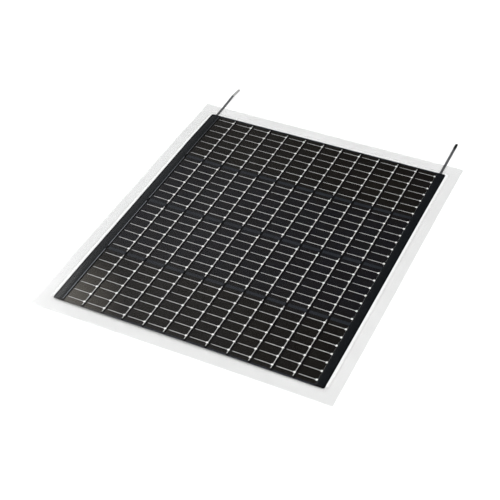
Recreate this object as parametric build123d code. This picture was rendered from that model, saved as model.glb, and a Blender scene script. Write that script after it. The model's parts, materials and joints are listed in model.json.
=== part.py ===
"""A flexible thin-film solar sheet, in millimetres.

A dark web of twelve series-connected cells is sealed between a clear front film and a clear rear film.
X runs across the cells, Y along them and along the two bus ribbons, and Z up through the laminate.
The origin is at the centre of the sheet on its rear face, the face that is bonded to a roof or a bag.

The sheet bends about lines that are parallel to Y. It is cut into SECTIONS sections at the scribe lines
between cells, with a slot at each so that neighbours stay clear of each other over the whole bend.
"""

import math
import os

from build123d import *

# The whole sheet
SHEET_WIDTH = 270.0
SHEET_LENGTH = 325.0
SHEET_CORNER_RADIUS = 1.0
SIDE_SEAL = 12.5  # clear border outside the dark web, on the two long sides
END_SEAL = 13.7  # the same at the two ends

# Layers, from the rear face up
REAR_FILM = 0.15
REAR_ADHESIVE = 0.25
CARRIER = 0.06
CELL_FILM = 0.03
SILVER_PRINT = 0.03
RIBBON = 0.15
COVER_TAPE = 0.10
FRONT_ADHESIVE_OVER_RIBBON = 0.05  # where the ribbon crosses the clear border
FRONT_ADHESIVE_OVER_COVER = 0.23
FRONT_FILM = 0.10
STEP_SLOPE_WIDTH = 3.0  # the front film's slope from the web down to the clear border

# The web: cells in columns across X, printed in blocks along Y
COLUMNS = 12
BLOCKS = 4
FINGERS = 7  # in each block of each column
COVER_WIDTH = 8.2
COVER_CORNER_RADIUS = 2.0
BAND_WIDTH = 3.4  # bare carrier between two blocks
BLOCK_EXTRA = 3.0  # what a block's pitch has beyond its fingers' pitches
SCRIBE_OFFSET = 1.35  # from a column line to the scribe between two cells

# The silver print
FINGER_WIDTH = 0.8
SPINE_WIDTH = 0.8
SPINE_OFFSET = -0.2  # from the column line
SPINE_TAIL = 4.2  # the spine beyond a block's end fingers
PAD_SIZE = 1.6
PAD_OFFSET = -0.9
FINGER_GAP = 1.3  # from the scribe to a finger's free end
HIDDEN_SPINE_OFFSET = 0.4  # the last column's spine lies under the cover
CONTACT_WIDTH = 4.6
CONTACT_SHOWING = 0.25  # of the left contact, beyond its cover

# Bus ribbons and the leads that they become outside the sheet
RIBBON_WIDTH = 2.5
RIBBON_INSET = 5.3  # from the dark web's outer edge to the ribbon's centre
RIBBON_START = 3.0  # from the dark web's lower end
RIBBON_STUB = 0.5  # what the fixed ribbon shows beyond the sheet's edge
LEAD_CLEARANCE = 0.1  # between the stub and the turning lead
LEAD_LENGTH = 36.0
LEFT_LEAD_CREASE = 22.5  # where the left lead is creased, from its bend
LEFT_LEAD_RISE = 0.7
LEFT_LEAD_TIP_DROP = 0.5
RIGHT_LEAD_CREASE = 32.0
RIGHT_LEAD_RISE = 0.9
RIGHT_LEAD_TIP_DROP = 0.4

# The bend
SECTIONS = 6
FLEX_LIMIT_DEG = 22.0  # at each line, either way: a bend radius of about 100 at the limit
FLEX_CLEARANCE = 0.3

# Places that follow from the sizes above
WEB_WIDTH = SHEET_WIDTH - 2 * SIDE_SEAL
WEB_LENGTH = SHEET_LENGTH - 2 * END_SEAL
COLUMN_PITCH = (WEB_WIDTH - 2 * COVER_WIDTH) / COLUMNS
BLOCK_PITCH = WEB_LENGTH / BLOCKS
FINGER_PITCH = (BLOCK_PITCH - BLOCK_EXTRA) / FINGERS
SPINE_LENGTH = (FINGERS - 1) * FINGER_PITCH + 2 * SPINE_TAIL
RIBBON_X = WEB_WIDTH / 2 - RIBBON_INSET

REAR_ADHESIVE_Z = REAR_FILM
CARRIER_Z = REAR_ADHESIVE_Z + REAR_ADHESIVE
CELL_Z = CARRIER_Z + CARRIER
PRINT_Z = CELL_Z + CELL_FILM
RIBBON_Z = PRINT_Z + SILVER_PRINT
COVER_FLANGE_TOP = RIBBON_Z + COVER_TAPE
COVER_TOP = RIBBON_Z + RIBBON + COVER_TAPE
BORDER_FILM_Z = RIBBON_Z + RIBBON + FRONT_ADHESIVE_OVER_RIBBON
WEB_FILM_Z = COVER_TOP + FRONT_ADHESIVE_OVER_COVER
SHEET_TOP = WEB_FILM_Z + FRONT_FILM

FLEX_Z = SHEET_TOP / 2
FLEX_SLOT = SHEET_TOP * math.tan(math.radians(FLEX_LIMIT_DEG) / 2) + FLEX_CLEARANCE
COLUMNS_PER_SECTION = COLUMNS // SECTIONS

RIBBON_END = SHEET_LENGTH / 2 + RIBBON_STUB
LEAD_PIVOT_Y = RIBBON_END + LEAD_CLEARANCE + RIBBON / 2
LEAD_PIVOT_Z = RIBBON_Z + RIBBON / 2


def column_line(k):
    """X of the line at the right of column k, where its spine is printed. Line 0 is the left cover's edge."""
    return -WEB_WIDTH / 2 + COVER_WIDTH + k * COLUMN_PITCH


def scribe(k):
    """X of the scribe between columns k and k + 1."""
    return column_line(k) + SCRIBE_OFFSET


def block_centre(b):
    """Y of the middle of block b, from the lower end."""
    return (b - (BLOCKS - 1) / 2) * BLOCK_PITCH


def flex_line(i):
    """X of the bend line between sections i and i + 1, counted from 1."""
    return scribe(i * COLUMNS_PER_SECTION)


def section_span(i):
    """Low and high X of section i, counted from 1."""
    low = -SHEET_WIDTH / 2 if i == 1 else flex_line(i - 1) + FLEX_SLOT / 2
    high = SHEET_WIDTH / 2 if i == SECTIONS else flex_line(i) - FLEX_SLOT / 2
    return low, high


def slab(x, y, z):
    """A block between two values on each axis."""
    size = [high - low for low, high in (x, y, z)]
    return Pos(x[0], y[0], z[0]) * Box(*size, align=(Align.MIN, Align.MIN, Align.MIN))


def section_of(shape, i):
    """The part of a full-width layer that lies in section i."""
    low, high = section_span(i)
    return shape & slab((low, high), (-SHEET_LENGTH, SHEET_LENGTH), (-1, SHEET_TOP + 1))


def layer(width, length, radius, low, high):
    """A flat layer with rounded corners between two heights."""
    return Pos(0, 0, low) * extrude(RectangleRounded(width, length, radius), high - low)


def sheet_layer(low, high):
    return layer(SHEET_WIDTH, SHEET_LENGTH, SHEET_CORNER_RADIUS, low, high)


def web_layer(low, high):
    return layer(WEB_WIDTH, WEB_LENGTH, COVER_CORNER_RADIUS, low, high)


def stepped_body(border_top, web_top):
    """Everything from the carrier's foot up to a surface that is raised over the web."""
    slope_foot = Rectangle(WEB_WIDTH + 2 * STEP_SLOPE_WIDTH, WEB_LENGTH + 2 * STEP_SLOPE_WIDTH)
    slope_head = Rectangle(WEB_WIDTH, WEB_LENGTH)
    raised = loft([Pos(0, 0, border_top) * slope_foot, Pos(0, 0, web_top) * slope_head])
    return sheet_layer(CARRIER_Z, border_top) + raised


def cell_columns():
    """Each column's cell film, by column: one solid for each block. Column 0 is the strip under the left contact."""
    outer = RIBBON_X + RIBBON_WIDTH
    edges = {0: (-outer, scribe(0) - FLEX_SLOT / 2), COLUMNS: (scribe(COLUMNS - 1) + FLEX_SLOT / 2, outer)}
    for k in range(1, COLUMNS):
        edges[k] = (scribe(k - 1) + FLEX_SLOT / 2, scribe(k) - FLEX_SLOT / 2)
    half = (BLOCK_PITCH - BAND_WIDTH) / 2
    return {
        k: [
            slab(span, (block_centre(b) - half, block_centre(b) + half), (CELL_Z, PRINT_Z))
            for b in range(BLOCKS)
        ]
        for k, span in edges.items()
    }


def comb(spine_offset):
    """One block of one column's silver print, about its column line: fingers, their weld pads and the spine."""
    finger_start = SCRIBE_OFFSET - COLUMN_PITCH + FINGER_GAP
    finger_length = spine_offset - finger_start
    outline = Pos(spine_offset, 0) * Rectangle(SPINE_WIDTH, SPINE_LENGTH)
    for n in range(FINGERS):
        y = (n - (FINGERS - 1) / 2) * FINGER_PITCH
        outline += Pos(finger_start + finger_length / 2, y) * Rectangle(finger_length, FINGER_WIDTH)
        outline += Pos(PAD_OFFSET, y) * Rectangle(PAD_SIZE, PAD_SIZE)
    return extrude(outline, SILVER_PRINT)


def grid_columns():
    """Each column's silver print, by column: one comb for each block."""
    plain, last = comb(SPINE_OFFSET), comb(HIDDEN_SPINE_OFFSET + SPINE_WIDTH / 2)
    return {
        k: [
            Pos(column_line(k), block_centre(b), PRINT_Z) * (last if k == COLUMNS else plain)
            for b in range(BLOCKS)
        ]
        for k in range(1, COLUMNS + 1)
    }


def contact(side):
    """The wide silver strips that a bus ribbon lies on, one for each block. Side is -1 at the left, 1 at the right."""
    if side < 0:
        inner = column_line(0) + CONTACT_SHOWING
    else:
        inner = column_line(COLUMNS) + HIDDEN_SPINE_OFFSET + SPINE_WIDTH
    x = sorted((inner, inner + side * CONTACT_WIDTH))
    return [
        slab(x, (block_centre(b) - SPINE_LENGTH / 2, block_centre(b) + SPINE_LENGTH / 2), (PRINT_Z, RIBBON_Z))
        for b in range(BLOCKS)
    ]


def ribbon(side):
    """The bus ribbon, from the web's lower end to just outside the sheet's upper edge."""
    x = (side * RIBBON_X - RIBBON_WIDTH / 2, side * RIBBON_X + RIBBON_WIDTH / 2)
    return slab(x, (-WEB_LENGTH / 2 + RIBBON_START, RIBBON_END), (RIBBON_Z, RIBBON_Z + RIBBON))


def cover(side, under):
    """The black tape over a bus ribbon, draped over what lies under it."""
    edges = sorted((side * WEB_WIDTH / 2, side * (WEB_WIDTH / 2 - COVER_WIDTH)))
    bump = RIBBON_WIDTH / 2 + COVER_TAPE
    y = (-WEB_LENGTH / 2, WEB_LENGTH / 2)
    tape = slab(edges, y, (CELL_Z, COVER_FLANGE_TOP))
    tape += slab((side * RIBBON_X - bump, side * RIBBON_X + bump), y, (CELL_Z, COVER_TOP))
    return (tape & web_layer(CELL_Z, COVER_TOP)) - under


def lead(side, crease, rise, tip_drop):
    """The ribbon's free end, from its bend outside the sheet. It rises a little to a crease near its tip."""
    half = RIBBON / 2
    line = [(0, 0), (crease, rise), (LEAD_LENGTH, rise - tip_drop)]
    outline = [(y, z + half) for y, z in line] + [(y, z - half) for y, z in reversed(line)]
    side_view = make_face(Polyline(*outline, close=True)) + Circle(half)
    solid = extrude(Plane.YZ * side_view, RIBBON_WIDTH / 2, both=True)
    return Pos(side * RIBBON_X, LEAD_PIVOT_Y, LEAD_PIVOT_Z) * solid


def build():
    """Every node's solids, by node name."""
    cells, grids = cell_columns(), grid_columns()
    contacts = {side: contact(side) for side in (-1, 1)}
    ribbons = {side: ribbon(side) for side in (-1, 1)}
    sides = {-1: ("left", (0, 1)), 1: ("right", (COLUMNS,))}
    covers = {}
    for side, (_, columns) in sides.items():
        under = [ribbons[side], *contacts[side]]
        under += [solid for k in columns for solid in cells[k]]
        under += [solid for k in columns if k for solid in grids[k]]
        covers[side] = cover(side, under)

    rear_film = sheet_layer(0, REAR_ADHESIVE_Z)
    rear_adhesive = sheet_layer(REAR_ADHESIVE_Z, CARRIER_Z)
    carrier = web_layer(CARRIER_Z, CELL_Z)
    under_film = stepped_body(BORDER_FILM_Z, WEB_FILM_Z)
    front_film = stepped_body(BORDER_FILM_Z + FRONT_FILM, SHEET_TOP) - under_film

    nodes = {}
    for i in range(1, SECTIONS + 1):
        first, last = (i - 1) * COLUMNS_PER_SECTION + 1, i * COLUMNS_PER_SECTION
        section_cells = [solid for k in range(0 if i == 1 else first, last + 1) for solid in cells[k]]
        section_grid = [solid for k in range(first, last + 1) for solid in grids[k]]
        section_carrier = section_of(carrier, i)
        embedded = [section_carrier, *section_cells, *section_grid]
        for side, section in ((-1, 1), (1, SECTIONS)):
            if i == section:
                embedded += [*contacts[side], ribbons[side], covers[side]]
        nodes[f"rear_film_{i}"] = [section_of(rear_film, i)]
        nodes[f"rear_adhesive_{i}"] = [section_of(rear_adhesive, i)]
        nodes[f"carrier_{i}"] = [section_carrier]
        nodes[f"cells_{i}"] = section_cells
        nodes[f"grid_{i}"] = section_grid
        nodes[f"front_adhesive_{i}"] = [section_of(under_film, i) - embedded]
        nodes[f"front_film_{i}"] = [section_of(front_film, i)]
    for side, (name, _) in sides.items():
        nodes[f"bus_contact_{name}"] = contacts[side]
        nodes[f"bus_ribbon_{name}"] = [ribbons[side]]
        nodes[f"edge_cover_{name}"] = [covers[side]]
    nodes["lead_left"] = [lead(-1, LEFT_LEAD_CREASE, LEFT_LEAD_RISE, LEFT_LEAD_TIP_DROP)]
    nodes["lead_right"] = [lead(1, RIGHT_LEAD_CREASE, RIGHT_LEAD_RISE, RIGHT_LEAD_TIP_DROP)]
    return nodes


def main():
    os.makedirs("parts", exist_ok=True)
    for name, shapes in build().items():
        solids = [solid for shape in shapes for solid in shape.solids()]
        node = solids[0] if len(solids) == 1 else Compound(children=solids)
        export_step(node, f"parts/{name}.step")
        print(name, len(solids), "solids")


if __name__ == "__main__":
    main()
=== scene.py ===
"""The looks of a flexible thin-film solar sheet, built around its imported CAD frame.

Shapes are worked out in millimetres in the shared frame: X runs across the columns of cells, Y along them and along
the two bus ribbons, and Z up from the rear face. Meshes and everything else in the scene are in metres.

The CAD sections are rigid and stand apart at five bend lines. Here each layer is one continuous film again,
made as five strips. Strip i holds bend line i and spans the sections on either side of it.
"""

import json
import math

import bpy
import numpy as np
from mathutils import Matrix, Vector


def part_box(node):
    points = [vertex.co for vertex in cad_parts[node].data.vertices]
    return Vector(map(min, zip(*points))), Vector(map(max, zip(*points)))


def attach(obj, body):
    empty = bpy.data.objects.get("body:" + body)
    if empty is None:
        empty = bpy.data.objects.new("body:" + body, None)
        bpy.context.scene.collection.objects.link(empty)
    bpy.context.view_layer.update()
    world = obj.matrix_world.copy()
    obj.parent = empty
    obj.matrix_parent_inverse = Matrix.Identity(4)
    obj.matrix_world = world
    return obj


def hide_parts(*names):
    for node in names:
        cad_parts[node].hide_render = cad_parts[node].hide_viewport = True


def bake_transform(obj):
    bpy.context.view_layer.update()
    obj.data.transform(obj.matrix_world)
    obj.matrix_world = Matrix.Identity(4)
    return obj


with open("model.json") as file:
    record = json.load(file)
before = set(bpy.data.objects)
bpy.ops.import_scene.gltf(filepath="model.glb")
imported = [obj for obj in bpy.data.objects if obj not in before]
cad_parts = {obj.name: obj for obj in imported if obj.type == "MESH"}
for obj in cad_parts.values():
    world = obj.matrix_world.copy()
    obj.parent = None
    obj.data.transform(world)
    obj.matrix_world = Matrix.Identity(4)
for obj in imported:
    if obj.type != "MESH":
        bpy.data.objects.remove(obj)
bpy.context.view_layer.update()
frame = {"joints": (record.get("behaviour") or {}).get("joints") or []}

MM = 0.001
GAP = 0.01  # between two layers that are bonded, so that their faces don't coincide
STRIPS = (1, 2, 3, 4, 5)
SIDES = {"left": (-1, "section_1"), "right": (1, "section_6")}


# --- Sizes, read from the frame -------------------------------------------------------------------------------


def node_box(*names):
    """Lowest and highest corner of some CAD nodes together, in mm."""
    corners = [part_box(name) for name in names]
    low = [min(c[0][i] for c in corners) / MM for i in range(3)]
    high = [max(c[1][i] for c in corners) / MM for i in range(3)]
    return low, high


def layer_box(layer):
    """The same for a layer's six sections."""
    return node_box(*[f"{layer}_{i}" for i in range(1, 7)])


def joint_place(name):
    """A joint's place, in mm."""
    place = next(j["pos_m"] for j in frame["joints"] if j["name"] == name)
    return [c / MM for c in place]


SHEET_X, SHEET_Y = layer_box("rear_film")[1][:2]  # half width, half length
WEB_X, WEB_Y = layer_box("carrier")[1][:2]
REAR_FILM_TOP = layer_box("rear_film")[1][2]
CARRIER_Z, CELL_Z = (c[2] for c in layer_box("carrier"))
PRINT_Z = layer_box("cells")[1][2]
RIBBON_Z, RIBBON_TOP = (c[2] for c in node_box("bus_ribbon_left"))
COVER_TOP = node_box("edge_cover_left")[1][2]
SHEET_TOP = layer_box("front_film")[1][2]
COVER_EDGE = -node_box("edge_cover_left")[1][0]  # the covers' inner edges, either side of the middle

FLEX_X = [joint_place(f"flex_{i}")[0] for i in STRIPS]
PITCH = (FLEX_X[-1] - FLEX_X[0]) / (2 * (len(FLEX_X) - 1))  # of the columns: two to a section
BLOCKS, FINGERS, COLUMNS = 4, 7, 12
BLOCK_PITCH = 2 * WEB_Y / BLOCKS
SPINE_HALF = layer_box("grid")[1][1] - (BLOCKS - 1) / 2 * BLOCK_PITCH
CELL_HALF = layer_box("cells")[1][1] - (BLOCKS - 1) / 2 * BLOCK_PITCH
FINGER_PITCH = 10.2
SCRIBE_TO_LINE = 1.35  # from a scribe back to the line that its spine is printed along
RIBBON_X = joint_place("lead_bend_right")[0]
RIBBON_HALF = node_box("lead_right")[1][0] - RIBBON_X
LEAD_START = joint_place("lead_bend_left")[1]

SHEET_CORNER = 1.0  # corner radii
WEB_CORNER = 2.0
COVER_TAPE = 0.1  # thicknesses
FILM = 0.1
BORDER_TOP = 0.82  # the front film's top over the clear border
SLOPE_FOOT, SLOPE_HEAD = 3.0, -1.3  # the front film's slope, from outside the web's outline to inside it
RIBBON_BUMP = 0.03  # how far a ribbon lifts the front film
PRINT_CLEARANCE = 0.04  # between the cells and the front adhesive, for the silver print
COVER_EASE = 0.3  # how far either side of a cover's edge the front adhesive steps up onto it


def scribe(k):
    """X of the scribe between columns k and k + 1."""
    return FLEX_X[0] + (k - 2) * PITCH


def column_line(k):
    """X of the line that column k's spine is printed along. Line 0 is the left cover's edge."""
    return scribe(k) - SCRIBE_TO_LINE


def block_centre(b):
    return (b - (BLOCKS - 1) / 2) * BLOCK_PITCH


def strip_span(i):
    """The X that strip i spans, between the middles of its two sections."""
    return scribe(2 * i - 1), scribe(2 * i + 1)


# --- Heights --------------------------------------------------------------------------------------------------

NEAR_CURL, LEFT_CURL, RIGHT_CURL, WAVES = 2.3, 1.4, 0.8, 0.05  # how far the sheet lifts, and its waves' height


def smooth(a, b, v):
    """0 at a and beyond, 1 at b and beyond, and an S between them."""
    t = np.clip((v - a) / (b - a), 0, 1)
    return t * t * (3 - 2 * t)


def outside_web(x, y):
    """Distance outside the dark web's outline, negative inside it."""
    qx, qy = np.abs(x) - (WEB_X - WEB_CORNER), np.abs(y) - (WEB_Y - WEB_CORNER)
    corner = np.hypot(np.maximum(qx, 0), np.maximum(qy, 0))
    return corner + np.minimum(np.maximum(qx, qy), 0) - WEB_CORNER


def settle(x, y):
    """How far the sheet has lifted off the floor. It curls up along its near edge, most at the left, and a little
    at its left side and its upper right. It lies flat at the far edge, where the leads leave it."""
    calm = smooth(150, 90, y)
    near = NEAR_CURL * np.clip((150 - y) / 312, 0, 1) ** 3 * smooth(230, -10, x)
    left = LEFT_CURL * smooth(-60, -135, x) * smooth(-162, -90, y)
    right = RIGHT_CURL * smooth(60, 135, x) * smooth(-80, 60, y)
    waves = 1 + 0.6 * np.sin(x / 31 + y / 58 + 0.6) + 0.4 * np.sin(y / 27 - x / 83 + 2.1)
    return near + calm * (left + right + WAVES * waves)


def over_ribbon(x):
    """1 over a bus ribbon and 0 a little way off it."""
    return smooth(RIBBON_HALF + 0.9, RIBBON_HALF + 0.1, np.abs(np.abs(x) - RIBBON_X))


def cover_top(x, y):
    """A cover tape's top: it lies over its ribbon, and is pressed down at the web's outline."""
    flange = RIBBON_Z + COVER_TAPE
    return flange + (COVER_TOP - flange) * over_ribbon(x) - 0.12 * smooth(-0.9, 0, outside_web(x, y))


def film_top(x, y):
    """The front film's outer face: raised over the web, with a slope around it."""
    rise = smooth(SLOPE_FOOT, SLOPE_HEAD, outside_web(x, y))
    on_web = smooth(6.0, 0.0, outside_web(x, y))
    bump = RIBBON_BUMP * over_ribbon(x) * (0.25 + 0.75 * on_web)
    return BORDER_TOP + (SHEET_TOP - BORDER_TOP) * rise + bump


def film_foot(x, y):
    return film_top(x, y) - FILM


def embedded_top(x, y):
    """The top of whatever lies under the front adhesive."""
    covered = smooth(COVER_EDGE - COVER_EASE, COVER_EDGE + COVER_EASE, np.abs(x))
    web = PRINT_Z + PRINT_CLEARANCE + (cover_top(x, y) - PRINT_Z - PRINT_CLEARANCE) * covered
    return web + (CARRIER_Z + GAP - web) * smooth(0.05, 0.45, outside_web(x, y))


def level(z):
    """A height that is the same everywhere."""
    return lambda x, y: np.full(np.shape(x), float(z))


# --- Mesh building --------------------------------------------------------------------------------------------


def lines(low, high, step, extra=()):
    """Grid lines from low to high at about this step, with the extra ones among them."""
    extra = [e for e in extra if low < e < high]
    even = np.linspace(low, high, max(1, round((high - low) / step)) + 1)
    kept = [low, high, *extra]
    kept += [e for e in even[1:-1] if all(abs(e - k) > 0.45 * step for k in extra)]
    return np.array(sorted(kept))


def round_corners(x, y, half_x, half_y, r):
    """Moves grid points in each corner square onto a quarter disc."""
    u = np.clip((np.abs(x) - (half_x - r)) / r, 0, 1)
    v = np.clip((np.abs(y) - (half_y - r)) / r, 0, 1)
    in_corner = (u > 0) & (v > 0)
    new_x = np.sign(x) * (half_x - r + r * u * np.sqrt(1 - v * v / 2))
    new_y = np.sign(y) * (half_y - r + r * v * np.sqrt(1 - u * u / 2))
    return np.where(in_corner, new_x, x), np.where(in_corner, new_y, y)


class Piece:
    """One mesh in the making, in mm. Each face has a material number."""

    def __init__(self, name):
        self.name, self.points, self.faces, self.numbers = name, [], [], []

    def add(self, points, faces, number=0):
        first = len(self.points)
        self.points += [tuple(float(c) for c in p) for p in points]
        self.faces += [[first + i for i in face] for face in faces]
        self.numbers += [number] * len(faces) if isinstance(number, int) else list(number)

    def sheet(self, xs, ys, low, high, numbers=(0, 0, 0), corner=None, seams=(None, None)):
        """A closed sheet on the grid lines xs and ys, between two height functions.
        Numbers are the materials of its top, its foot and its sides. A side at one of the seams' x is as its foot."""
        x, y = np.meshgrid(xs, ys, indexing="ij")
        if corner:
            x, y = round_corners(x, y, *corner)
        foot, top = np.stack([x, y, low(x, y)], -1), np.stack([x, y, high(x, y)], -1)
        nx, ny = x.shape
        at = lambda i, j, up: (up * nx + i) * ny + j
        faces, kinds = [], []
        for i in range(nx - 1):
            for j in range(ny - 1):
                ring = [(i, j), (i + 1, j), (i + 1, j + 1), (i, j + 1)]
                faces += [[at(a, b, 1) for a, b in ring], [at(a, b, 0) for a, b in reversed(ring)]]
                kinds += [numbers[0], numbers[1]]
        rim = [(i, 0) for i in range(nx)] + [(nx - 1, j) for j in range(1, ny)]
        rim += [(i, ny - 1) for i in range(nx - 2, -1, -1)] + [(0, j) for j in range(ny - 2, 0, -1)]
        for (a, b), (c, d) in zip(rim, rim[1:] + rim[:1]):
            faces.append([at(a, b, 0), at(c, d, 0), at(c, d, 1), at(a, b, 1)])
            at_seam = a == c and xs[a] in seams
            kinds.append(numbers[1] if at_seam else numbers[2])
        self.add(np.concatenate([foot.reshape(-1, 3), top.reshape(-1, 3)]), faces, kinds)

    def loft(self, points, n):
        """A closed tube through rings of n points."""
        faces = [list(range(n)), [len(points) - n + k for k in reversed(range(n))]]
        for first in range(0, len(points) - n, n):
            for k in range(n):
                a, b = first + k, first + (k + 1) % n
                faces.append([a, a + n, b + n, b])
        self.add(points, faces)

    def ridge(self, centres, halves, heights, along_x):
        """A low printed line with a rounded top. Centres are points on its foot."""
        across = np.array([-1, -0.85, -0.45, 0, 0.45, 0.85, 1])
        up = np.array([0, 0.62, 0.94, 1, 0.94, 0.62, 0])
        points = []
        for (x, y, z), half, height in zip(centres, halves, heights):
            for a, u in zip(across, up):
                points.append((x, y - a * half, z + u * height) if along_x else (x + a * half, y, z + u * height))
        self.loft(points, len(across))

    def dome(self, x, y, z, radius, height, number, sides=12):
        """A low round dot."""
        rings = [(1, 0), (0.9, 0.55), (0.6, 0.9)]
        turn = [2 * math.pi * k / sides for k in range(sides)]
        points = [(x + radius * r * math.cos(t), y + radius * r * math.sin(t), z + height * h)
                  for r, h in rings for t in turn]
        points.append((x, y, z + height))
        faces = [list(reversed(range(sides)))]
        for s in range(len(rings) - 1):
            for k in range(sides):
                a, b = s * sides + k, s * sides + (k + 1) % sides
                faces.append([a, b, b + sides, a + sides])
        last = (len(rings) - 1) * sides
        faces += [[last + k, last + (k + 1) % sides, len(points) - 1] for k in range(sides)]
        self.add(points, faces, number)

    def make(self, materials, slot):
        """The Blender object. For the patterns, attribute "flat" keeps each point's place on the flat sheet, and "rim"
        its distance outside the dark web, in mm."""
        flat = np.array(self.points)
        place = flat.copy()
        place[:, 2] += settle(flat[:, 0], flat[:, 1])
        mesh = bpy.data.meshes.new(self.name)
        mesh.from_pydata((place * MM).tolist(), [], self.faces)
        mesh.attributes.new("flat", "FLOAT_VECTOR", "POINT").data.foreach_set("vector", flat.astype(np.float32).ravel())
        rim = outside_web(flat[:, 0], flat[:, 1]).astype(np.float32)
        mesh.attributes.new("rim", "FLOAT", "POINT").data.foreach_set("value", rim)
        for m in materials:
            mesh.materials.append(m)
        mesh.polygons.foreach_set("material_index", self.numbers)
        mesh.shade_smooth()
        mesh.set_sharp_from_angle(angle=math.radians(35))
        mesh.update()
        made = bpy.data.objects.new(self.name, mesh)
        bpy.context.scene.collection.objects.link(made)
        return made


def bend_strip(piece, i, layer):
    """Strip i stands for its two sections' part of a layer: its transform is baked in and those two CAD sections are
    hidden.
    """
    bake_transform(piece)
    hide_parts(f"{layer}_{i}", f"{layer}_{i + 1}")


# --- Materials ------------------------------------------------------------------------------------------------

BONDED_GLOSS = 0.03  # specular level of what is sealed under the adhesive, where there is no air to reflect from


class Shader:
    """One material's node tree. Each call adds a node; sockets given as inputs are linked."""

    def __init__(self, name):
        self.material = bpy.data.materials.new(name)
        self.material.use_nodes = True
        self.tree = self.material.node_tree
        self.tree.nodes.clear()

    def add(self, kind, inputs=None, out=0, **settings):
        made = self.tree.nodes.new("ShaderNode" + kind)
        for key, value in settings.items():
            setattr(made, key, value)
        for key, value in (inputs or {}).items():
            if isinstance(value, bpy.types.NodeSocket):
                self.tree.links.new(value, made.inputs[key])
            else:
                made.inputs[key].default_value = value
        return made.outputs[out]

    def math(self, operation, a, b=0.0):
        return self.add("Math", {0: a, 1: b}, operation=operation)

    def dot(self, vector, direction):
        return self.add("VectorMath", {0: vector, 1: direction}, out=1, operation="DOT_PRODUCT")

    def flat(self):
        """The point's place on the flat sheet, in mm."""
        return self.add("Attribute", out=1, attribute_name="flat", attribute_type="GEOMETRY")

    def rim(self):
        """Distance outside the dark web, in mm."""
        return self.add("Attribute", out=2, attribute_name="rim", attribute_type="GEOMETRY")

    def split(self, vector):
        """A vector's x, y and z."""
        return self.add("SeparateXYZ", {"Vector": vector}).node.outputs

    def between(self, value, a, b, c, d):
        """1 from b to c, falling to 0 at a and at d."""
        return self.math("MULTIPLY", self.ramp(value, a, b), self.ramp(value, d, c))

    def noise(self, vector, size, detail=2.0, roughness=0.5, stretch=(1, 1, 1)):
        """Noise with patches of about this size, in mm."""
        scaled = self.add("VectorMath", {0: vector, 1: [s / size for s in stretch]}, operation="MULTIPLY")
        return self.add("TexNoise", {"Vector": scaled, "Scale": 1.0, "Detail": detail, "Roughness": roughness})

    def ramp(self, value, low, high, a=0.0, b=1.0):
        """Value from low to high, as a to b."""
        return self.add("MapRange", {"Value": value, "From Min": low, "From Max": high, "To Min": a, "To Max": b})

    def blend_colour(self, share, a, b):
        return self.add("MixRGB", {"Fac": share, "Color1": a, "Color2": b})

    def bump(self, height, distance, strength=1.0):
        return self.add("Bump", {"Height": height, "Distance": distance * MM, "Strength": strength})

    def principled(self, **inputs):
        return self.add("BsdfPrincipled", {key.replace("_", " "): value for key, value in inputs.items()})

    def mix(self, share, a, b):
        return self.add("MixShader", {0: share, 1: a, 2: b})

    def finish(self, surface):
        output = self.tree.nodes.new("ShaderNodeOutputMaterial")
        self.tree.links.new(surface, output.inputs["Surface"])
        return self.material


def rgb(r, g, b):
    return (r, g, b, 1.0)


def surface_gloss(s):
    """How much a clear face reflects: 4% straight on and more towards grazing, the same from either side."""
    grazing = s.math("POWER", s.add("LayerWeight", {"Blend": 0.5}, out=1), 4.0)
    return s.math("ADD", s.math("MULTIPLY", grazing, 0.9), 0.038)


def hatch(s, flat, fineness):
    """Diamonds from two crossed diagonal waves, from -1 to 1. Fineness is in radians per mm, along X and along Y."""
    one_way = s.math("SINE", s.dot(flat, (fineness, fineness, 0)))
    other_way = s.math("SINE", s.dot(flat, (fineness, -fineness, 0)))
    return s.math("MULTIPLY", one_way, other_way)


def emboss(s, flat):
    """The height of the film's fine diamond emboss and of its grain."""
    grain = s.noise(flat, 0.7, detail=3)
    return s.math("ADD", s.math("MULTIPLY", hatch(s, flat, 4.4), 0.5), grain)


def scribe_shade(s, flat):
    """1 in the groove just past each column's spine, where shade is painted dark, and 0 elsewhere."""
    x = s.split(flat)[0]
    across = s.math("FRACT", s.math("DIVIDE", s.math("SUBTRACT", x, column_line(0)), PITCH))
    inside = s.ramp(s.math("ABSOLUTE", x), COVER_EDGE + 0.6, COVER_EDGE - 0.6)
    return s.math("MULTIPLY", s.math("MULTIPLY", s.ramp(across, 0.0, 0.01), s.ramp(across, 0.125, 0.095)), inside)


def painted_corner_reflection(s, flat):
    """1 at the web's near left corner, fading out over a few cells: where a warm, pale reflection is painted on the web
    and the silicon.
    """
    corner = s.add("VectorMath", {0: flat, 1: (-WEB_X, -WEB_Y, 0)}, out=1, operation="DISTANCE")
    return s.ramp(corner, 62, 12)


FILM_HAZE, FILM_ROUGHNESS = 0.001, 0.14  # a rougher film would spread the sun's glare over the dark web


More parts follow.
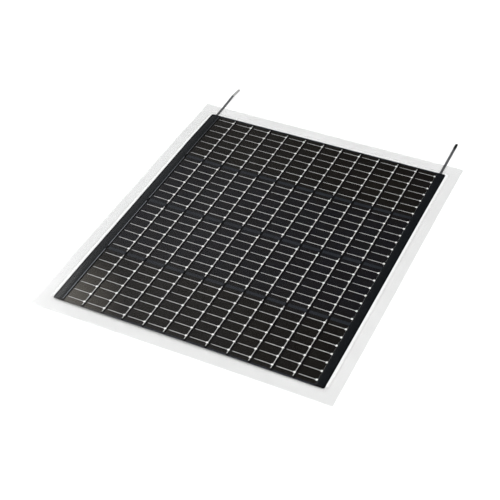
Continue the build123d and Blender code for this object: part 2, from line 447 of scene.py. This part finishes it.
def film_material(name, tint, creased):
    """Clear film: what shows through it, a little white haze, and gloss that grows towards grazing angles.
    A creased film has a painted highlight just outside the web, where its slope is given a clearer tint and white haze,
    and painted shade in a fine darker line at its slope's foot. It is dull just inside the web's outline and over the
    scribes."""
    s = Shader(name)
    flat = s.flat()
    normal = s.bump(emboss(s, flat), 0.02, 0.6)
    haze_and_painted_highlight = s.ramp(s.noise(flat, 23, detail=3), 0.3, 0.7, FILM_HAZE * 0.8, FILM_HAZE * 1.2)
    colour, gloss_share = tint, surface_gloss(s)
    if creased:
        rim = s.rim()
        x, y, _ = s.split(flat)
        beyond_near_edge = s.ramp(y, -WEB_Y + 1.0, -WEB_Y + 3.0)
        from_ribbon = s.math("ABSOLUTE", s.math("SUBTRACT", s.math("ABSOLUTE", x), RIBBON_X))
        off_ribbon = s.ramp(from_ribbon, RIBBON_HALF + 0.2, RIBBON_HALF + 1.0)
        grey = tuple(c * 0.97 for c in tint[:3]) + (1.0,)
        colour = s.blend_colour(s.ramp(s.noise(flat, 1.8, detail=2), 0.3, 0.7), grey, tint)
        # painted highlight: the slope just outside the web gets a clearer tint and white haze, but not at the near edge
        slope = s.math("MULTIPLY", s.between(rim, 0.0, 0.2, 1.9, 2.5), beyond_near_edge)
        colour = s.blend_colour(slope, colour, rgb(0.99, 0.99, 0.99))
        # painted shade: a fine darker line at the slope's foot
        colour = s.blend_colour(s.between(rim, 2.4, 2.8, 3.1, 3.7), colour, rgb(0.86, 0.86, 0.86))
        haze_and_painted_highlight = s.math("ADD", haze_and_painted_highlight, s.math("MULTIPLY", s.math("MULTIPLY", slope, off_ribbon), 0.6))
        dull = s.math("MULTIPLY", s.between(rim, -1.5, -1.1, -0.1, 0.2), beyond_near_edge)
        dull = s.math("MAXIMUM", dull, s.math("MULTIPLY", scribe_shade(s, flat), s.ramp(rim, 0.1, -0.1)))
        gloss_share = s.math("MULTIPLY", gloss_share, s.ramp(dull, 0, 1, 1.0, 0.2))
    clear = s.add("BsdfTransparent", {"Color": colour})
    milk = s.principled(Base_Color=rgb(0.97, 0.97, 0.97), Roughness=0.9, Normal=normal)
    gloss = s.principled(Base_Color=rgb(1, 1, 1), Metallic=1.0, Roughness=FILM_ROUGHNESS, Normal=normal)
    return s.finish(s.mix(gloss_share, s.mix(haze_and_painted_highlight, clear, milk), gloss))


def bonded_material(name, tint):
    """A bonded face inside the laminate, which has no gloss: only a slight cloudy tint."""
    s = Shader(name)
    cloud = s.noise(s.flat(), 17, detail=3)
    pale = tuple(min(1.0, c + 0.008) for c in tint[:3]) + (1.0,)
    return s.finish(s.add("BsdfTransparent", {"Color": s.blend_colour(cloud, tint, pale)}))


def edge_material():
    """The cut edge of the films, where light gathers a little."""
    s = Shader("cut_film_edge")
    grain = s.noise(s.flat(), 1.3)
    clear = s.add("BsdfTransparent", {"Color": rgb(0.97, 0.98, 0.98)})
    milk = s.principled(Base_Color=rgb(0.9, 0.92, 0.92), Roughness=0.4)
    return s.finish(s.mix(s.ramp(grain, 0.3, 0.7, 0.06, 0.16), clear, milk))


def carrier_material():
    """The slate-grey web, with a painted warm, pale reflection at its near left corner, and painted shade beside the
    scribes.
    """
    s = Shader("slate_carrier")
    flat = s.flat()
    patch = s.noise(flat, 21, detail=3)
    grain = s.noise(flat, 0.6, detail=2)
    colour = s.blend_colour(patch, rgb(0.013, 0.016, 0.021), rgb(0.023, 0.027, 0.034))
    colour = s.blend_colour(s.ramp(grain, 0.35, 0.65, 0, 0.35), colour, rgb(0.036, 0.039, 0.044))
    # painted reflection: warm and pale at the web's near left corner
    colour = s.blend_colour(painted_corner_reflection(s, flat), colour, rgb(0.074, 0.068, 0.058))
    # painted shade in the groove just past each spine
    colour = s.blend_colour(scribe_shade(s, flat), colour, rgb(0.001, 0.001, 0.0012))
    return s.finish(s.principled(Base_Color=colour, Roughness=0.55, Specular_IOR_Level=BONDED_GLOSS,
                                 Normal=s.bump(grain, 0.03)))


def cell_material():
    """Amorphous silicon: near black, with faint warm and violet patches, cooler in its middle blocks, painted shade
    beside the scribes, and a painted warm, pale reflection at the web's near left corner."""
    s = Shader("dark_cell")
    flat = s.flat()
    patch = s.noise(flat, 9, detail=3, stretch=(1, 0.6, 1))
    tone = s.noise(flat, 31, detail=2)
    grain = s.noise(flat, 0.55, detail=2)
    middle_blocks = s.between(s.split(flat)[1], *(BLOCK_PITCH * c for c in (-1.1, -0.8, 0.8, 1.1)))
    cool = s.math("MULTIPLY", middle_blocks, 0.8)
    colour = s.blend_colour(cool, rgb(0.0060, 0.0050, 0.0033), rgb(0.0056, 0.0062, 0.0098))
    colour = s.blend_colour(s.ramp(tone, 0.4, 0.7, 0, 0.5), colour, rgb(0.0042, 0.0030, 0.0040))
    colour = s.blend_colour(s.ramp(patch, 0.4, 0.75, 0, 0.6), colour, rgb(0.0085, 0.0072, 0.0062))
    # painted reflection: warm and pale at the web's near left corner
    colour = s.blend_colour(painted_corner_reflection(s, flat), colour, rgb(0.074, 0.066, 0.054))
    # painted shade in the groove just past each spine
    colour = s.blend_colour(scribe_shade(s, flat), colour, rgb(0.0004, 0.0004, 0.0005))
    rough = s.ramp(grain, 0.3, 0.7, 0.32, 0.5)
    return s.finish(s.principled(Base_Color=colour, Roughness=rough, Specular_IOR_Level=BONDED_GLOSS,
                                 Normal=s.bump(grain, 0.02)))


def silver_material(name, dark, bright, speck, metallic, painted_far_shade):
    """Printed silver paste: matt, with a fine grain and a slow change of tone, and painted shade that darkens it a
    little towards the far end, where its sheen falls off.
    """
    s = Shader(name)
    flat = s.flat()
    grain = s.noise(flat, 0.28, detail=3, roughness=0.7)
    patch = s.noise(flat, 14, detail=2)
    colour = s.blend_colour(s.ramp(patch, 0.35, 0.65), dark, bright)
    colour = s.blend_colour(s.ramp(grain, 0.35, 0.6, 0.35, 0), colour, speck)
    # painted shade: darker towards the far end, where the sheen of the near rows falls off
    colour = s.blend_colour(s.ramp(s.split(flat)[1], 20, 150, 0, painted_far_shade), colour, rgb(0.25, 0.25, 0.25))
    return s.finish(s.principled(Base_Color=colour, Metallic=metallic, Roughness=0.5, Normal=s.bump(grain, 0.04)))


def contact_material():
    """The contacts' strips: bluish grey silver, with painted shade that darkens them towards the far end."""
    s = Shader("contact_silver")
    flat = s.flat()
    grain = s.noise(flat, 0.4, detail=3)
    colour = s.blend_colour(grain, rgb(0.22, 0.24, 0.27), rgb(0.36, 0.38, 0.42))
    # painted shade: darker towards the far end
    colour = s.blend_colour(s.ramp(s.split(flat)[1], -30, 120, 0, 0.85), colour, rgb(0.03, 0.034, 0.04))
    return s.finish(s.principled(Base_Color=colour, Metallic=0.3, Roughness=0.45, Normal=s.bump(grain, 0.03)))


def cover_material():
    """Black tape with a fine diagonal hatch, blackest along the web's outline."""
    s = Shader("black_tape")
    flat = s.flat()
    weave = hatch(s, flat, 5.2)
    mottle = s.noise(flat, 1.9, detail=2)
    dust = s.noise(flat, 1.1, detail=3)
    tone = s.noise(flat, 40, detail=2)
    colour = s.blend_colour(s.ramp(weave, -1, 1, 0.1, 0.9), rgb(0.0030, 0.0040, 0.0050), rgb(0.0085, 0.0106, 0.0135))
    colour = s.blend_colour(s.ramp(mottle, 0.45, 0.7, 0, 0.5), colour, rgb(0.0018, 0.0028, 0.0044))
    colour = s.blend_colour(s.ramp(dust, 0.55, 0.8, 0, 0.5), colour, rgb(0.014, 0.015, 0.018))
    colour = s.blend_colour(s.ramp(tone, 0.4, 0.7, 0, 0.3), colour, rgb(0.004, 0.005, 0.0045))
    colour = s.blend_colour(s.ramp(s.rim(), -1.4, -1.0), colour, rgb(0.0004, 0.0004, 0.0005))
    return s.finish(s.principled(Base_Color=colour, Roughness=0.5, Specular_IOR_Level=BONDED_GLOSS,
                                 Normal=s.bump(weave, 0.05)))


def tinned_material():
    """Tinned copper ribbon: dull grey metal drawn lengthwise, with a painted highlight beyond the left lead's crease
    and painted shade towards the right lead's tip."""
    s = Shader("tinned_copper")
    flat = s.flat()
    drawn = s.noise(flat, 0.35, detail=3, stretch=(1, 0.02, 1))
    patch = s.noise(flat, 5, detail=2)
    colour = s.blend_colour(s.ramp(drawn, 0.3, 0.7), rgb(0.09, 0.095, 0.103), rgb(0.19, 0.195, 0.205))
    colour = s.blend_colour(s.ramp(patch, 0.4, 0.7, 0, 0.5), colour, rgb(0.14, 0.14, 0.138))
    x, y, _ = s.split(flat)
    left = s.ramp(x, 1, -1)
    # painted highlight: the left lead pale beyond its crease
    pale = s.math("MULTIPLY", left, s.ramp(y, LEAD_START + 22.0, LEAD_START + 23.5))
    colour = s.blend_colour(pale, colour, rgb(0.6, 0.6, 0.59))
    # painted shade: the right lead darkening towards its tip
    dark = s.math("MULTIPLY", s.math("SUBTRACT", 1.0, left), s.ramp(y, LEAD_START + 24, LEAD_START + 30))
    colour = s.blend_colour(dark, colour, rgb(0.004, 0.004, 0.004))
    rough = s.ramp(drawn, 0.3, 0.7, 0.38, 0.55)
    return s.finish(s.principled(Base_Color=colour, Metallic=0.6, Roughness=rough, Normal=s.bump(drawn, 0.05)))


def floor_material():
    """A pale studio floor, faintly mottled."""
    s = Shader("studio_floor")
    place = s.add("NewGeometry")
    mottle = s.add("TexNoise", {"Vector": place, "Scale": 3.0, "Detail": 2.0})
    colour = s.blend_colour(mottle, rgb(0.88, 0.88, 0.88), rgb(0.9, 0.9, 0.9))
    return s.finish(s.principled(Base_Color=colour, Roughness=0.95))


FRONT_FILM = film_material("front_film", rgb(0.93, 0.93, 0.93), creased=True)
REAR_FILM = film_material("rear_film", rgb(0.992, 0.992, 0.992), creased=False)
BONDED = bonded_material("bonded_film", rgb(0.989, 0.989, 0.989))
ADHESIVE = bonded_material("clear_adhesive", rgb(0.989, 0.99, 0.989))
CUT_EDGE = edge_material()
CARRIER, CELL = carrier_material(), cell_material()
SILVER = silver_material("silver_print", rgb(0.54, 0.54, 0.535), rgb(0.66, 0.66, 0.655), rgb(0.36, 0.36, 0.355),
                         metallic=0.2, painted_far_shade=0.35)
WELD_DOT = silver_material("weld_dot", rgb(0.96, 0.96, 0.955), rgb(0.99, 0.99, 0.985), rgb(0.88, 0.88, 0.87),
                           metallic=0.0, painted_far_shade=0.1)
CONTACT, COVER, TINNED = contact_material(), cover_material(), tinned_material()


# --- The layers, strip by strip -------------------------------------------------------------------------------

# Where the fine grid lines lie. The others are about STEP_X and STEP_Y apart.
STEP_X, STEP_Y = 2.4, 7.5
CORNER_LINES = (0.3, 0.6, SHEET_CORNER)  # from the sheet's edge inwards
WEB_CORNER_LINES = (0.7, 1.4, WEB_CORNER)  # from the web's edge inwards
SLOPE_LINES = (SLOPE_HEAD, -0.7, -0.2, 0.05, 0.45, 1.0, 1.7, 2.4, SLOPE_FOOT)  # from the web's edge outwards
RIBBON_LINES = (-2.2, -1.8, -1.35, -0.6, 0.0, 0.6, 1.35, 1.8, 2.2)  # either side of a ribbon's middle
COVER_EDGE_LINES = (-COVER_EASE, COVER_EASE)  # either side of a cover's edge


def mirrored(values):
    """Each value and its opposite."""
    return [sign * v for v in values for sign in (-1, 1)]


def sheet_lines(i):
    """Grid lines for strip i of a layer that covers the whole sheet."""
    start, end = strip_span(i)
    low, high = (-SHEET_X if i == 1 else start), (SHEET_X if i == 5 else end)
    fine_x = [SHEET_X - c for c in CORNER_LINES] + [WEB_X + c for c in SLOPE_LINES]
    fine_x += [RIBBON_X + c for c in RIBBON_LINES] + [COVER_EDGE + c for c in COVER_EDGE_LINES]
    fine_y = [SHEET_Y - c for c in CORNER_LINES] + [WEB_Y + c for c in SLOPE_LINES]
    return lines(low, high, STEP_X, mirrored(fine_x)), lines(-SHEET_Y, SHEET_Y, STEP_Y, mirrored(fine_y))


def web_lines(i):
    """The same for the carrier, which covers the dark web."""
    start, end = strip_span(i)
    low, high = (-WEB_X if i == 1 else start), (WEB_X if i == 5 else end)
    return (lines(low, high, STEP_X, mirrored([WEB_X - c for c in WEB_CORNER_LINES])),
            lines(-WEB_Y, WEB_Y, STEP_Y, mirrored([WEB_Y - c for c in WEB_CORNER_LINES])))


def build_sheet_layer(layer, low, high, materials, slot):
    """A full-sheet layer's five strips. The materials are for its top, its foot and its cut edge."""
    for i in STRIPS:
        xs, ys = sheet_lines(i)
        piece = Piece(f"{layer}_strip_{i}")
        piece.sheet(xs, ys, low, high, (0, 1, 2), (SHEET_X, SHEET_Y, SHEET_CORNER), strip_span(i))
        bend_strip(piece.make(materials, slot), i, layer)


build_sheet_layer("rear_film", level(0), level(REAR_FILM_TOP - GAP), [BONDED, REAR_FILM, CUT_EDGE], "rear_film")
build_sheet_layer("rear_adhesive", level(REAR_FILM_TOP), level(CARRIER_Z - GAP),
                  [ADHESIVE, BONDED, CUT_EDGE], "adhesive")
build_sheet_layer("front_adhesive", embedded_top, lambda x, y: film_foot(x, y) - GAP,
                  [ADHESIVE, BONDED, CUT_EDGE], "adhesive")
build_sheet_layer("front_film", film_foot, film_top, [FRONT_FILM, BONDED, CUT_EDGE], "front_film")

for i in STRIPS:
    xs, ys = web_lines(i)
    piece = Piece(f"carrier_strip_{i}")
    piece.sheet(xs, ys, level(CARRIER_Z), level(CELL_Z - GAP / 2), corner=(WEB_X, WEB_Y, WEB_CORNER))
    bend_strip(piece.make([CARRIER], "carrier"), i, "carrier")


# --- Cells and silver print -----------------------------------------------------------------------------------

SCRIBE_GAP = 0.3  # between two columns' cells
END_OVERHANG = 3.0  # the end columns' cells, beyond the ribbon's middle
CELL_STEP_Y = 6.5


def columns_of(i):
    """The columns that strip i holds. Column 0 is the strip under the left contact."""
    return {1: (0, 1, 2, 3), 5: (10, 11, 12)}.get(i, (2 * i, 2 * i + 1))


def cell_span(k):
    """The lowest and highest X of column k's cells."""
    low = -RIBBON_X - END_OVERHANG if k == 0 else scribe(k - 1) + SCRIBE_GAP / 2
    high = RIBBON_X + END_OVERHANG if k == COLUMNS else scribe(k) - SCRIBE_GAP / 2
    return low, high


for i in STRIPS:
    piece = Piece(f"cells_strip_{i}")
    for k in columns_of(i):
        for b in range(BLOCKS):
            y = block_centre(b)
            xs, ys = lines(*cell_span(k), STEP_X), lines(y - CELL_HALF, y + CELL_HALF, CELL_STEP_Y)
            piece.sheet(xs, ys, level(CELL_Z), level(PRINT_Z - GAP / 4))
    bend_strip(piece.make([CELL], "cell_film"), i, "cells")

PRINT_HEIGHT = 0.035
SPINE_HALF_WIDTH = 0.37
SPINE_SHIFT = -0.2  # the spine's middle, from the column line
LAST_SPINE_SHIFT = 0.25  # the last column's spine lies against its cover
SPINE_END = 0.4  # length of the rounding at a spine's ends
DOT_SHIFT, LAST_DOT_SHIFT = -0.65, -0.8
DOT_RADIUS, DOT_HEIGHT = 1.15, PRINT_HEIGHT * 1.6
FINGER_LENGTH = 16.4  # from a finger's free end to the column line
FINGER_END = 0.6  # length of the rounding at its free end


def rounded_end(distance, length):
    """A line's share of its full width at some distance from its end, which is rounded over this length."""
    return np.sqrt(np.clip(1 - np.clip(1 - distance / length, 0, 1) ** 2, 0.002, 1))


def finger(piece, line, y, last):
    """One finger, from its free end to the spine, with a flare and a round weld dot where they meet. The last column's
    fingers end at its cover, with no flare."""
    start, end = line - FINGER_LENGTH, line + (0.0 if last else SPINE_SHIFT)
    xs = np.array(sorted([start, start + 0.12, start + 0.3, start + FINGER_END, end, end - 0.35, end - 0.8, end - 1.3,
                          *np.linspace(start + 1.6, end - 2.2, 6)]))
    share = rounded_end(xs - xs[0], FINGER_END)
    taper = 0.27 + 0.09 * smooth(start, start + 7, xs)
    flare = 0.0 if last else 0.34 * smooth(end - 1.7, end, xs)
    piece.ridge([(x, y, PRINT_Z) for x in xs], (taper + flare) * share, PRINT_HEIGHT * share, True)
    piece.dome(line + (LAST_DOT_SHIFT if last else DOT_SHIFT), y, PRINT_Z, DOT_RADIUS, DOT_HEIGHT, 1)


def spine(piece, x, y):
    """One block's spine, with rounded ends. Y is its middle."""
    low, high = y - SPINE_HALF, y + SPINE_HALF
    fine = (0.1, 0.25, SPINE_END)
    ys = np.array(sorted([low, *(low + c for c in fine), high, *(high - c for c in fine),
                          *np.linspace(low + 3, high - 3, 12)]))
    share = rounded_end(ys - ys[0], SPINE_END) * rounded_end(ys[-1] - ys, SPINE_END)
    piece.ridge([(x, v, PRINT_Z) for v in ys], SPINE_HALF_WIDTH * share, PRINT_HEIGHT * share, False)


for i in STRIPS:
    piece = Piece(f"grid_strip_{i}")
    for k in columns_of(i):
        if k == 0:
            continue
        line, last = column_line(k), k == COLUMNS
        for b in range(BLOCKS):
            for n in range(FINGERS):
                finger(piece, line, block_centre(b) + (n - (FINGERS - 1) / 2) * FINGER_PITCH, last)
            spine(piece, line + (LAST_SPINE_SHIFT if last else SPINE_SHIFT), block_centre(b))
    bend_strip(piece.make([SILVER, WELD_DOT], "silver_print"), i, "grid")


# --- Covers, contacts, ribbons and leads ----------------------------------------------------------------------

COVER_LINES = (0.2, 0.5, 0.9, 1.4, WEB_CORNER)  # from the web's edge inwards
COVER_STEP_X, CONTACT_STEP_Y = 1.2, 7.0
CONTACT_SHOWING = 0.2  # how much further the left contact shows beyond its cover than in CAD

for name, (side, section) in SIDES.items():
    fine = [side * (RIBBON_X + c) for c in RIBBON_LINES] + [side * (WEB_X - c) for c in COVER_LINES]
    edges = sorted((side * WEB_X, side * COVER_EDGE))
    xs = lines(*edges, COVER_STEP_X, fine)
    ys = lines(-WEB_Y, WEB_Y, STEP_Y, mirrored([WEB_Y - c for c in COVER_LINES]))
    piece = Piece(f"edge_cover_tape_{name}")
    piece.sheet(xs, ys, lambda x, y: cover_top(x, y) - COVER_TAPE + GAP, cover_top, corner=(WEB_X, WEB_Y, WEB_CORNER))
    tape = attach(piece.make([COVER], "cover_tape"), section)
    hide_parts(f"edge_cover_{name}")

    low, high = (c[0] for c in node_box(f"bus_contact_{name}"))
    if name == "left":
        high += CONTACT_SHOWING
    piece = Piece(f"bus_contact_print_{name}")
    for b in range(BLOCKS):
        y = block_centre(b)
        xs, ys = lines(low, high, COVER_STEP_X), lines(y - SPINE_HALF, y + SPINE_HALF, CONTACT_STEP_Y)
        piece.sheet(xs, ys, level(PRINT_Z), level(RIBBON_Z - GAP))
    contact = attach(piece.make([CONTACT], "silver_print"), section)
    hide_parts(f"bus_contact_{name}")


# Each lead: where it is creased, from its bend; how far its tip drops again; how far it is twisted beyond the crease,
# in radians; and how far its tip lies to the right of its start.
LEADS = {
    "left": {"crease": 22.5, "drop": 0.5, "twist": -0.12, "bow": 0.8},
    "right": {"crease": 32.0, "drop": 0.4, "twist": 0.06, "bow": -0.25},
}
RIBBON_STEP_Y = 8.0
RIBBON_FINE_FROM = 150.0  # Y from which a ribbon's rings lie closer together

for name, (side, section) in SIDES.items():
    y0, z0 = joint_place(f"lead_bend_{name}")[1:]
    highest, tip_y = node_box(f"lead_{name}")[1][2], node_box(f"lead_{name}")[1][1]
    shape = LEADS[name]
    length, crease = tip_y - y0, shape["crease"]
    rise = highest - (RIBBON_TOP - RIBBON_Z) / 2 - z0
    ys = np.concatenate([
        lines(node_box(f"bus_ribbon_{name}")[0][1], RIBBON_FINE_FROM, RIBBON_STEP_Y),
        np.linspace(RIBBON_FINE_FROM + 2, y0 - 1.2, 6), np.linspace(y0 - 0.9, y0 + 1.2, 12),
        np.linspace(y0 + 2, y0 + length, 22)])
    out = ys - y0  # distance beyond the bend
    past_crease = np.clip((out - crease) / (length - crease), 0, 1)
    zs = z0 + rise * np.clip(out / crease, 0, 1) * smooth(0, 3, out) - shape["drop"] * past_crease
    twist = shape["twist"] * smooth(crease - 1.5, crease + 2.5, out) + 0.05 * np.sin(out / 6.0) * smooth(2, 8, out)
    bow = shape["bow"] * past_crease
    half = (RIBBON_TOP - RIBBON_Z) / 2 - GAP
    across = np.array([-1, -0.9, -0.4, 0.4, 0.9, 1, 0.9, 0.4, -0.4, -0.9])
    up = np.array([0, 0.85, 1, 1, 0.85, 0, -0.85, -1, -1, -0.85])
    piece, points = Piece(f"ribbon_lead_strip_{name}"), []
    for y, z, turn, shift in zip(ys, zs, twist, bow):
        for a, u in zip(across * RIBBON_HALF, up * half):
            x = a * math.cos(turn) - u * math.sin(turn)
            points.append((side * RIBBON_X + shift + x, y, z + a * math.sin(turn) + u * math.cos(turn)))
    piece.loft(points, len(across))
    lead = piece.make([TINNED], "tinned_copper")
    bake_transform(lead)
    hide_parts(f"bus_ribbon_{name}", f"lead_{name}")


# --- Floor, light and camera ----------------------------------------------------------------------------------

FLOOR_HALF, FLOOR_Z = 30.0, -0.0002
floor_corners = [(sx * FLOOR_HALF, sy * FLOOR_HALF, FLOOR_Z) for sx, sy in ((-1, -1), (1, -1), (1, 1), (-1, 1))]
floor_mesh = bpy.data.meshes.new("floor")
floor_mesh.from_pydata(floor_corners, [], [(0, 1, 2, 3)])
floor_mesh.materials.append(floor_material())
floor = bpy.data.objects.new("floor", floor_mesh)
bpy.context.scene.collection.objects.link(floor)


def direction(azimuth, elevation):
    """A unit vector that points azimuth degrees left of +Y and elevation degrees up."""
    a, e = math.radians(azimuth), math.radians(elevation)
    return Vector((-math.sin(a) * math.cos(e), math.cos(a) * math.cos(e), math.sin(e)))


def studio_world(towards, dim, bright):
    """A dim studio that brightens smoothly towards one side, like a large diffuser seen from the sheet."""
    world = bpy.data.worlds.new("studio")
    world.use_nodes = True
    tree = world.node_tree
    place = tree.nodes.new("ShaderNodeTexCoord")
    dot = tree.nodes.new("ShaderNodeVectorMath")
    dot.operation = "DOT_PRODUCT"
    dot.inputs[1].default_value = towards
    ramp = tree.nodes.new("ShaderNodeMapRange")
    ramp.interpolation_type = "SMOOTHSTEP"
    for key, value in {"From Min": 0.70, "From Max": 0.93, "To Min": dim, "To Max": bright}.items():
        ramp.inputs[key].default_value = value
    background = tree.nodes["Background"]
    background.inputs["Color"].default_value = (0.99, 0.99, 1.0, 1)
    tree.links.new(place.outputs["Generated"], dot.inputs[0])
    tree.links.new(dot.outputs["Value"], ramp.inputs["Value"])
    tree.links.new(ramp.outputs["Result"], background.inputs["Strength"])
    return world


bpy.context.scene.world = studio_world(direction(75, 35), 0.03, 0.7)


def add_light(name, kind, towards, distance=0.0, target=(0, 0, 0), **settings):
    """A lamp that stands this way and this far from its target, and shines on it."""
    data = bpy.data.lights.new(name, kind)
    for key, value in settings.items():
        setattr(data, key, value)
    lamp = bpy.data.objects.new(name, data)
    lamp.location = Vector(target) + towards * distance
    lamp.rotation_mode = "QUATERNION"
    lamp.rotation_quaternion = (-towards).to_track_quat("-Z", "Y")
    lamp.visible_camera = False
    bpy.context.scene.collection.objects.link(lamp)
    return lamp


add_light("soft_sun", "SUN", direction(215, 56), energy=4.42, angle=math.radians(60))
add_light("back_left", "AREA", direction(43, 42), 2.0, (-0.12, -0.15, 0), shape="DISK", size=0.3, energy=0.42)

CAMERA_PLACE = (0.3427, -0.7315, 0.6837)
CAMERA_AZIMUTH, CAMERA_ELEVATION, CAMERA_ROLL = 25.8, 41.01, -0.9  # degrees; it looks down by its elevation
CAMERA_LENS, CAMERA_SENSOR = 85.87, 36.0
a, e, r = (math.radians(v) for v in (CAMERA_AZIMUTH, CAMERA_ELEVATION, CAMERA_ROLL))
forward = Vector((-math.sin(a) * math.cos(e), math.cos(a) * math.cos(e), -math.sin(e)))
level_right = Vector((math.cos(a), math.sin(a), 0))
level_up = level_right.cross(forward)
right = level_right * math.cos(r) + level_up * math.sin(r)
up = level_up * math.cos(r) - level_right * math.sin(r)
camera = bpy.data.objects.new("camera", bpy.data.cameras.new("camera"))
camera.data.lens, camera.data.sensor_width = CAMERA_LENS, CAMERA_SENSOR
camera.matrix_world = Matrix.Translation(CAMERA_PLACE) @ Matrix((right, up, -forward)).transposed().to_4x4()
bpy.context.scene.collection.objects.link(camera)
bpy.context.scene.camera = camera

bpy.context.scene.view_settings.view_transform = "Standard"
bpy.context.scene.cycles.transparent_max_bounces = 48
